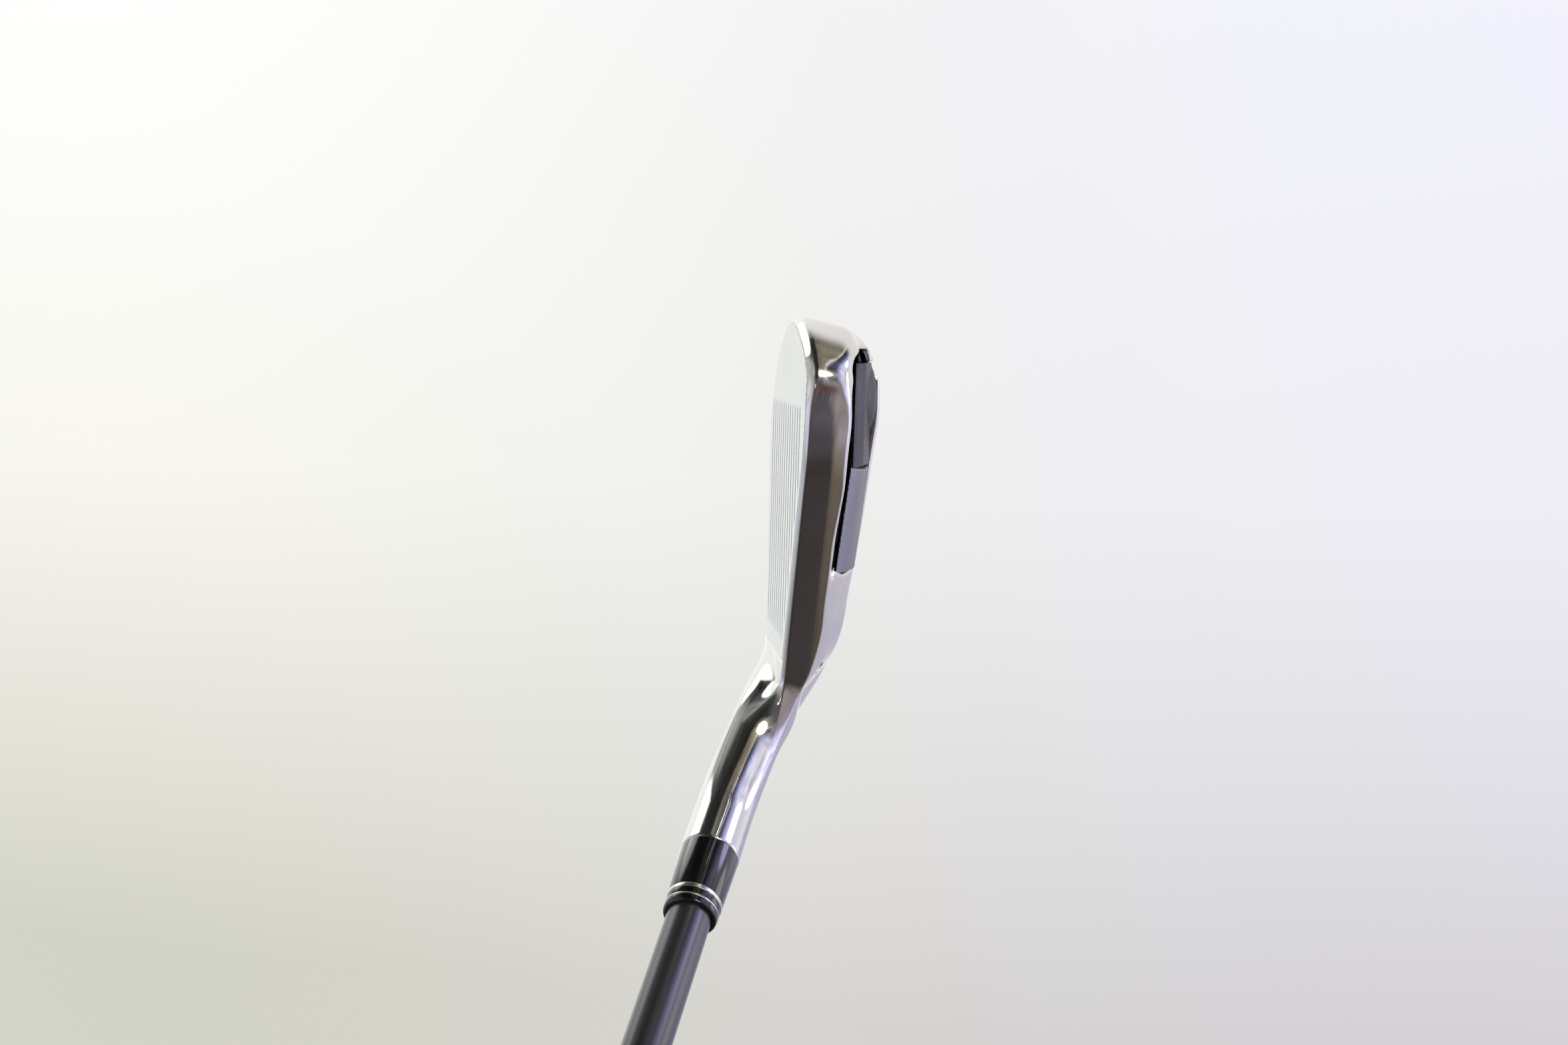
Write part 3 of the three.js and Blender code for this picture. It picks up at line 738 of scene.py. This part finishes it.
def make_world():
    """A bright studio sweep in front, lamps, and a dim room behind the camera.
    The directions are fixed in the frame, where the photo's camera has its right, up and ahead."""
    world = bpy.data.worlds.new("studio")
    bpy.context.scene.world = world
    world.use_nodes = True
    t = Tree(world.node_tree)
    where = t.add("ShaderNodeTexCoord").outputs["Generated"]

    def toward(direction):
        return t.dot(where, tuple(direction))

    right, up, ahead = toward(CAMERA_RIGHT), toward(CAMERA_UP), toward(CAMERA_FORWARD)
    across = t.math("MULTIPLY_ADD", right, 0.5, 0.5)

    def band(stops):
        return t.ramp(across, [((place + 1) / 2, color) for place, color in stops])

    above, below = band(ABOVE), band(BELOW)
    below = t.mix(t.smooth(up, -0.78, -0.48), below, t.mix(1.0, below, (2.0, 2.1, 2.6), "MULTIPLY"))
    red = t.math("MULTIPLY", t.smooth(up, -0.45, -0.32), t.smooth(up, -0.16, -0.28))
    below = t.mix(t.math("MULTIPLY", red, t.smooth(ahead, -0.75, -0.9)), below, RED_WALL)
    room = t.mix(t.smooth(up, -0.15, 0.15), below, above)
    cloud = t.noise(where, 3.4, 4)
    blotches = t.ramp(cloud, [(0.3, (0.62, 0.59, 0.56)), (0.7, (1.35, 1.35, 1.4))])
    room = t.mix(1.0, room, blotches, "MULTIPLY")
    sweep = band(SWEEP)
    low = t.math("MULTIPLY", t.smooth(up, -0.03, -0.13), t.smooth(right, 0.08, 0.25))
    sweep = t.mix(low, sweep, t.mix(1.0, sweep, (0.62, 0.61, 0.76), "MULTIPLY"))
    rightward = t.math("MAXIMUM", t.math("SUBTRACT", right, 0.45), 0.0)
    reach = t.math("MULTIPLY_ADD", rightward, 0.25, ahead)
    total = t.mix(t.smooth(reach, 0.48, 0.70), room, sweep)
    for (r, u, f), edge, core, color in LAMPS:
        direction = (CAMERA_RIGHT * r + CAMERA_UP * u + CAMERA_FORWARD * f).normalized()
        glow = t.smooth(toward(direction), edge, core)
        total = t.mix(glow, total, t.mix(1.0, total, color, "ADD"))
    seen = t.add("ShaderNodeLightPath").outputs["Is Camera Ray"]
    shown = t.mix(seen, total, PALE)
    background = t.add("ShaderNodeBackground", {"Color": shown, "Strength": 1.0})
    t.add("ShaderNodeOutputWorld", {"Surface": background.outputs[0]})


FLOOR_DROP, FLOOR_REACH = 0.30, 8.0  # metres below the sole, and metres from the middle to each side


def make_floor():
    """A pale seamless floor well below the club. It glows instead of being lit: its warm side, cool side and
    darker strip toward +X are painted light standing in for the studio's lamps.
    It fades into the backdrop's tone with distance."""
    corners = [(-1, -1), (1, -1), (1, 1), (-1, 1)]
    points = [(x * FLOOR_REACH / MM, y * FLOOR_REACH / MM, -FLOOR_DROP / MM) for x, y in corners]
    floor = add_object("floor", points, [(0, 1, 2, 3)], smooth=False)
    material = bpy.data.materials.new("pale_floor_painted_light")
    material.use_nodes = True
    t = Tree(material.node_tree)
    where = t.add("ShaderNodeTexCoord").outputs["Object"]
    parts = t.add("ShaderNodeSeparateXYZ", {"Vector": where})
    across = t.smooth(parts.outputs["Y"], -0.42, 0.30)

    def row(left, middle, right):
        return t.ramp(across, [(0.0, linear(*left)), (0.5, linear(*middle)), (1.0, linear(*right))])

    def down(start, end):
        inputs = {"Value": parts.outputs["X"], "From Min": start, "From Max": end}
        return t.add("ShaderNodeMapRange", inputs).outputs[0]

    # painted light: warm toward -Y, cool toward +Y and darker toward +X, as the studio's lamps would light
    # the floor
    far = row((255, 255, 253), (243, 243, 243), (242, 242, 254))
    middle = row((248, 247, 240), (239, 239, 237), (237, 236, 245))
    near = row((209, 209, 197), (213, 211, 207), (207, 204, 209))
    color = t.mix(down(-0.18, 0.01), far, middle)
    color = t.mix(down(0.02, 0.26), color, near)
    distance = t.add("ShaderNodeVectorMath", {0: where}, operation="LENGTH").outputs["Value"]
    color = t.mix(t.smooth(distance, 0.5, 1.6), color, PALE)
    # the floor glows with this painted light; no lamp lights it
    glow = t.add("ShaderNodeEmission", {"Color": color, "Strength": 1.0})
    t.add("ShaderNodeOutputMaterial", {"Surface": glow.outputs[0]})
    floor.data.materials.append(material)
    floor.visible_glossy = False
    floor.visible_diffuse = False
    floor.visible_shadow = False


# ---- the head ----
def make_head(metal):
    """The casting, on a grid that runs along the topline and up the face."""
    slope = math.atan(CREST.both(30)[1])
    face_up, face_back = np.array([0, SIN_LOFT, COS_LOFT]), np.array([0, COS_LOFT, -SIN_LOFT])
    toeward = math.cos(slope) * np.array([-1.0, 0, 0]) + math.sin(slope) * face_up
    basis = np.array([toeward, face_back, np.cross(toeward, face_back)])
    low = (AXIS_X - 91, -19, -3)
    high = (AXIS_X + 38, 22, 64)
    head = skin("head_casting", head_field, low, high, (0.62, 0.31, 0.31), basis)
    place(head, "chrome_casting", metal, "head_body")


# heights of a score line's rows of points from its middle
LINE_ROWS = (-1.2, -0.5, -0.4, -0.28, 0.28, 0.4, 0.5, 1.2)
# where a row's points are: 0 at its heel end, 1 to 2 along the score lines, 3 at its toe end
ROW_SPAN = np.concatenate([
    np.linspace(0, 1, 12, endpoint=False), [1.0, 1.02, 1.05],
    np.linspace(1.1, 1.9, 44), [1.95, 1.98, 2.0], np.linspace(2.05, 3.0, 24)])
FLANGE_DEPTH = 0.02  # the underside of the plate's flange is this far inside the casting


def face_rows():
    """Heights up the plate, dense where a score line's walls are."""
    rows = []
    for i in range(GROOVE_COUNT):
        middle = GROOVE_FIRST + i * GROOVE_PITCH
        rows += [middle + d for d in LINE_ROWS]
    lower = np.linspace(PLATE_LOW, rows[0], 12, endpoint=False)
    upper = np.linspace(rows[-1] + 0.4, PLATE_HIGH, 28)
    return np.concatenate([lower, rows, upper])


def plate_row(rise):
    """One row's height, its points' distances toward the toe and their depths."""
    steps = np.arange(0.0, 92.0, 0.02)
    on_plate = steps[plate_outline(steps, rise) < 0]
    if len(on_plate) < 10:
        return None
    start, end = on_plate[0], on_plate[-1]
    heel = min(max(GROOVE_HEEL, start + 4.5), 0.5 * (start + GROOVE_TOE) + 20)
    toe = min(GROOVE_TOE, end - 1.0)
    heel = min(heel, toe - 1.0)
    u = np.interp(ROW_SPAN, [0, 1, 2, 3], [start, heel, toe, end])
    line = int(round((rise - GROOVE_FIRST) / GROOVE_PITCH))
    offset = abs(rise - GROOVE_FIRST - line * GROOVE_PITCH)
    sunk = np.interp(offset, [GROOVE_FLOOR_HALF, GROOVE_TOP_HALF], [1.0, 0.0])
    if not 0 <= line < GROOVE_COUNT:
        sunk = 0.0
    in_line = np.interp(ROW_SPAN, [1.0, 1.05, 1.95, 2.0], [0.0, 1.0, 1.0, 0.0])
    return rise, u, GROOVE_DEPTH * sunk * in_line - PLATE_PROUD


def edge_loop(rows, width):
    """The numbers of the points round a grid's edge."""
    last = rows - 1
    ring = list(range(width)) + [(i + 1) * width - 1 for i in range(1, rows)]
    ring += [last * width + j for j in range(width - 2, -1, -1)]
    return ring + [i * width for i in range(rows - 2, 0, -1)]


def drawn_in(u, rise, scale):
    """A place on the face, moved toward the plate's middle."""
    middle_u, middle_rise = PLATE_MIDDLE
    return middle_u + scale * (u - middle_u), middle_rise + scale * (rise - middle_rise)


def flange_points(grid, ring, width, scale):
    """Points round the plate's edge, just inside the casting."""
    points = []
    for i in ring:
        rise, u, _ = grid[i // width]
        across, up = drawn_in(u[i % width], rise, scale)
        points.append(face_point(across, FLANGE_DEPTH, up))
    return points


def make_face(metal):
    """The plate: a front with score lines, a thin flange round it and a smaller back."""
    grid = [row for row in map(plate_row, face_rows()) if row is not None]
    front = np.array([face_point(u, depth, rise) for rise, u, depth in grid])
    smaller = [drawn_in(u, rise, PLATE_SHRINK) for rise, u, _ in grid]
    back = np.array([face_point(u, PLATE_THICK - 0.1, rise) for u, rise in smaller])
    count, width = front.shape[:2]
    shift = count * width
    ring = edge_loop(count, width)
    flange = np.arange(len(ring))
    points = np.concatenate([
        front.reshape(-1, 3), back.reshape(-1, 3),
        flange_points(grid, ring, width, 1.0), flange_points(grid, ring, width, PLATE_SHRINK)])
    faces = grid_faces(count, width, close_columns=False)
    faces += [tuple(i + shift for i in f[::-1]) for f in faces]
    loops = [ring, list(2 * shift + flange), list(2 * shift + len(ring) + flange), [i + shift for i in ring]]
    for upper, lower in zip(loops, loops[1:]):
        for j in range(len(ring)):
            k = (j + 1) % len(ring)
            faces.append((upper[k], upper[j], lower[j], lower[k]))
    plate = sharpen(add_object("strike_face", points, faces), 20)
    place(plate, "satin_face", metal, "face_plate")


def face_point(u, depth, rise):
    """The place at a distance toward the toe, a depth behind the face and a height up it."""
    u, depth = np.broadcast_arrays(np.asarray(u, float), np.asarray(depth, float))
    y = FACE_Y + depth * COS_LOFT + rise * SIN_LOFT
    z = -depth * SIN_LOFT + rise * COS_LOFT
    return np.stack([AXIS_X - u, y, z], -1)


# the panels' flats as seen from the toe: a (y, z) place on each, and the way it faces
TOE_TOP, CENTRE_TOP = ((13.2, 20.6), (0.84, 0.54)), ((13.2, 20.6), (0.9, 0.435))
TOE_BEVEL, TOE_BACK = ((14.75, 17.4), (0.95, 0.31)), ((15.15, 16.0), (0.999, 0.02))
LENS_MIDDLE, LENS_SIZE = (69.5, 11, 8.0), (11.5, 5.6, 9.0)
LENS_TOP = 15.4
NOTCH_HALF = 0.35  # half the gap between the panels, where their notch starts


def flat(y, z, spot, facing):
    """How far a point is outside a flat that runs across the blade."""
    return (y - spot[0]) * facing[0] + (z - spot[1]) * facing[1]


def toe_panel_field(x, y, z):
    """A sloping top and a bevel over a steep back, where a lens stands out."""
    u = AXIS_X - x
    body = smax(smax(flat(y, z, *TOE_TOP), flat(y, z, *TOE_BEVEL), 0.2), flat(y, z, *TOE_BACK), 0.2)
    offsets = [at - middle for at, middle in zip((u, y, z), LENS_MIDDLE)]
    bulge = ellipsoid(offsets, LENS_SIZE) * 6.0
    body = smin(body, smax(bulge, z - LENS_TOP, 0.6), 0.25)
    body = smax(smax(body, 13.3 - y, 0.6), PANEL_FLOOR - z, 0.4)
    notch = (PANEL_SPLIT + NOTCH_HALF - u) * 0.8 + (y - 14.3) * 0.25
    body = smax(body, notch, 0.3)
    body = smax(body, blade_field(x, y, z) - 0.4 - 2.0 * ease((z - 9) / 4), 0.5)
    return smax(body, smax(u - PANEL_TOE, y - BACK(u) - 0.3, 1.5), 0.5)


def centre_panel_field(x, y, z):
    """A sloping top that rolls over to a plain back, drawn forward toward the heel."""
    u = AXIS_X - x
    tapered = y + BACK_TAPER * (PANEL_SPLIT - u)
    body = smax(flat(tapered, z, *CENTRE_TOP), tapered - 15.3 + 0.05 * (z - 11), 2.5)
    body = smax(smax(body, 13.0 - tapered, 0.6), PANEL_FLOOR - z, 0.4)
    notch = (u - PANEL_SPLIT + NOTCH_HALF) * 0.8 + (tapered - 15.2) * 0.35
    body = smax(body, notch, 0.3)
    return smax(body, CAVITY_HEEL + 0.04 + 0.004 * (z - 14) ** 2 - u, 0.4)


def damper_field(x, y, z):
    """A strip with a slot underneath for the muscle's wall, and ribs on top."""
    u = AXIS_X - x
    tapered = y + BACK_TAPER * np.maximum(PANEL_SPLIT - u, 0)
    sides = smax(DAMPER_FRONT - tapered, tapered - MUSCLE_BACK, 0.5)
    block = smax(sides, smax(DAMPER_BOTTOM - z, z - DAMPER_TOP, 0.6), 0.8)
    slot = smax(8.3 - tapered, z - 17.5, 0.3)
    block = smax(block, -slot, 0.3)
    ends = np.abs(u - 0.5 * (CAVITY_HEEL + 1 + PANEL_TOE)) - 0.5 * (PANEL_TOE - CAVITY_HEEL - 1)
    ribs = 0.25 * ease((np.cos(2 * math.pi * u / 4.0) - 0.6) / 0.4) * (z > 17.8)
    return smax(block + ribs, ends, 0.8)


def badge_field(near, far, inset, ribs):
    """A sheet behind the face, between two depths, drawn in from the cavity's edge."""
    def field(x, y, z):
        u = AXIS_X - x
        depth, rise = face_frame(y, z)
        drop, toe = outline_parts(u, 4.0, rise)
        edge = smax(5.5 + inset - drop, toe + 6.4 + inset, 5.0)
        edge = smax(edge, 21.0 + 0.5 * inset - rise, 2.0)
        edge = smax(edge, CAVITY_HEEL + inset - u, 2.0)
        back = depth - far
        if ribs:
            wave = np.cos(2 * math.pi * (u * 0.8 - rise * 0.6) / 5.0)
            panel = smax(edge + 2.4, 30.0 - rise, 0.5)
            back = back + 0.35 * ease((wave + 0.3) / 1.0) * ease(-panel / 1.4)
        return smax(smax(edge, near - depth, 0.2), back, 0.35)
    return field


def cavity_box(low, high):
    """The cavity's length, between two (y, z) places."""
    return (AXIS_X - 84, *low), (AXIS_X - 28, *high)


def make_cavity_pieces():
    low, high = cavity_box((8, 7), (19.5, 22))
    toe = skin("toe_panel_skin", toe_panel_field, low, high, 0.3)
    dark = satin_panel("toe_panel_satin", linear(80, 80, 82), linear(93, 93, 95))
    place(toe, "toe_panel", dark, "toe_back_panel")
    centre = skin("centre_panel_skin", centre_panel_field, low, high, 0.3)
    light = satin_panel("centre_panel_satin", linear(141, 141, 143), linear(154, 154, 156))
    place(centre, "centre_panel", light, "centre_back_panel")
    low, high = cavity_box((1.5, 11), (13.5, 20))
    damper = skin("damper_skin", damper_field, low, high, 0.35)
    rubber = moulded("elastomer", (0.004, 0.004, 0.005), (0.010, 0.010, 0.012), 0.6)
    place(damper, "elastomer_black", rubber, "damper_strip")
    low, high = cavity_box((-2, 16), (18, 54))
    pad = skin("badge_pad_skin", badge_field(2.95, 4.1, 1.6, False), low, high, 0.5)
    foam = moulded("pad_foam", (0.006, 0.006, 0.007), (0.02, 0.02, 0.022), 0.85, 2500.0, 0.0002)
    place(pad, "badge_pad_foam", foam, "badge_pad")
    plate = skin("badge_plate_skin", badge_field(4.4, 5.4, 2.4, True), low, high, 0.4)
    sheet = brushed("badge_metal", linear(150, 152, 158), linear(190, 192, 198), 0.28)
    place(plate, "badge_metal", sheet, "badge_plate")


# ---- shaft, ferrule and grip ----
def shaft_radius(along):
    t = np.clip((along - SHAFT_PARALLEL) / (SHAFT_END - 60 - SHAFT_PARALLEL), 0, 1)
    return TIP_R + (BUTT_R - TIP_R) * t


def rounded(points, radii, steps=5):
    """A closed profile whose corners are rounded, each by its own radius."""
    points = np.array(points, float)
    out = []
    for i, point in enumerate(points):
        before, after = points[i - 1], points[(i + 1) % len(points)]
        r = radii[i]
        if r == 0:
            out.append(tuple(point))
            continue
        a = point + (before - point) / np.linalg.norm(before - point) * r
        b = point + (after - point) / np.linalg.norm(after - point) * r
        for t in np.linspace(0, 1, steps):
            out.append(tuple((1 - t) ** 2 * a + 2 * t * (1 - t) * point + t ** 2 * b))
    return out


def make_shaft():
    along = np.concatenate([[SHAFT_TIP], np.linspace(60, SHAFT_END - 1, 60), [SHAFT_END]])
    outer = [(a, float(shaft_radius(a))) for a in along]
    inner = [(a, float(shaft_radius(a)) - 1.6) for a in along[::-1]]
    tube = sharpen(lathe("shaft_tube", outer + inner, 96))
    place(tube, "graphite_shaft", graphite(), "shaft")


def ferrule_radius(along):
    t = (along - HOSEL_TOP) / (FERRULE_TOP - HOSEL_TOP)
    return HOSEL_R - 0.02 - 0.35 * t - 0.4 * t ** 2


def make_ferrule():
    low, inner = HOSEL_TOP + 0.06, TIP_R + 0.05
    outer = [(low, float(ferrule_radius(low)))]
    for middle, half, depth in ((RING_WIDE, 0.55, 0.35), (RING_FINE, 0.22, 0.25)):
        start, end, r = middle - half, middle + half, float(ferrule_radius(middle))
        outer += [(start, r), (start, r - depth), (end, r - depth), (end, r)]
    top = float(ferrule_radius(FERRULE_TOP))
    corner = [(FERRULE_TOP, top), (FERRULE_TOP, inner + 0.02), (FERRULE_TOP - 2.5, inner), (low, inner)]
    radius = [0.12] + [0.1, 0, 0, 0.1] * 2 + [0.75, 0.2, 0, 0]
    sleeve = sharpen(lathe("ferrule_sleeve", rounded(outer + corner, radius), 128), 50)
    place(sleeve, "ferrule_black", ferrule_plastic(), "ferrule")
    silver = brushed("ring_silver", linear(214, 212, 200), linear(244, 243, 236), 0.24)
    for name, node, middle, half, depth in (
            ("ring_wide_band", "ferrule_ring_wide", RING_WIDE, 0.5, 0.33),
            ("ring_fine_band", "ferrule_ring_fine", RING_FINE, 0.19, 0.23)):
        start, end, r = middle - half, middle + half, float(ferrule_radius(middle)) + 0.04
        band = [(start, r), (end, r), (end, r - depth), (start, r - depth)]
        ring = sharpen(lathe(name, rounded(band, [0.12, 0.12, 0, 0]), 128), 50)
        place(ring, "ring_silver", silver, node)


def grip_radius(along):
    t = np.clip((along - GRIP_MOUTH) / (CLUB_LENGTH - GRIP_MOUTH), 0, 1)
    return GRIP_MOUTH_R + (GRIP_BUTT_R - GRIP_MOUTH_R) * t ** 1.15


def grip_relief(along, radius, angle):
    """Moulded pattern: crossing diagonal grooves in panels, and rings near both ends."""
    outside = (radius > shaft_radius(along) + 1.2).astype(float)
    start, end = GRIP_MOUTH, CLUB_LENGTH
    turn = angle * 10.0
    slant = (along - start) * 2 * math.pi / 9.0
    line_a = ease((np.cos(turn + slant) - 0.86) / 0.14)
    line_b = ease((np.cos(turn - slant) - 0.86) / 0.14)
    share = (along - start) / (end - start)
    panels = ease((np.cos(share * 2 * math.pi * 3.0 + math.pi) + 0.72) / 0.12)
    sides = ease((np.abs(np.sin(angle)) - 0.28) / 0.08)
    ends = ease((share - 0.07) / 0.01) * ease((0.95 - share) / 0.01)
    pattern = 0.42 * np.maximum(line_a, line_b) * panels * sides * ends
    rings = 0.0
    for spot in (0.028, 0.045, 0.964):
        rings = rings + 0.4 * np.exp(-((share - spot) * (end - start) / 0.55) ** 2)
    return outside * (pattern + rings)


def make_grip():
    end = CLUB_LENGTH - 4.5
    along = np.concatenate([np.linspace(GRIP_MOUTH + 0.8, end - 0.3, 380), [end]])
    outer = [(GRIP_MOUTH, GRIP_MOUTH_R - 0.9), (GRIP_MOUTH + 0.3, GRIP_MOUTH_R - 0.35)]
    outer += [(a, float(grip_radius(a))) for a in along]
    bore = [(a, float(shaft_radius(a)) + 1.0) for a in np.linspace(end, GRIP_MOUTH, 12)]
    sleeve = lathe("grip_rubber_sleeve", outer + bore, 180, grip_relief)
    rubber = moulded("grip_rubber", (0.008, 0.008, 0.009), (0.019, 0.019, 0.020), 0.72, 1300.0, 0.00012)
    place(sharpen(sleeve, 60), "grip_rubber", rubber, "grip_sleeve")
    low, top, r, vent = end + 0.1, CLUB_LENGTH, GRIP_BUTT_R, 1.6
    profile = [
        (low, vent), (low, r), (top - 2.2, r + 0.15), (top - 0.4, r - 1.6), (top - 0.2, r - 3.2),
        (top - 0.9, r - 3.5), (top - 0.9, r - 4.3), (top - 0.2, r - 4.6), (top, 3.4), (top - 0.5, vent)]
    radius = [0, 0.2, 1.2, 0.8, 0.15, 0.15, 0.15, 0.15, 0.5, 0.2]
    cap = sharpen(lathe("grip_end_cap", rounded(profile, radius), 128), 50)
    place(cap, "grip_rubber", rubber, "grip_cap")


def finish_hidden():
    """Pieces inside the club keep their CAD shape and get their own finish."""
    brass = brushed("tip_brass", linear(176, 140, 70), linear(205, 170, 96), 0.3)
    for node, material in (("tip_weight", brass), ("grip_tape", tape())):
        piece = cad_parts[node]
        piece.data.materials.clear()
        piece.data.materials.append(material)


make_camera()
make_world()
make_floor()
bpy.context.scene.view_settings.view_transform = "Standard"
make_head(chrome())
make_face(satin_face())
make_cavity_pieces()
make_shaft()
make_ferrule()
make_grip()
finish_hidden()
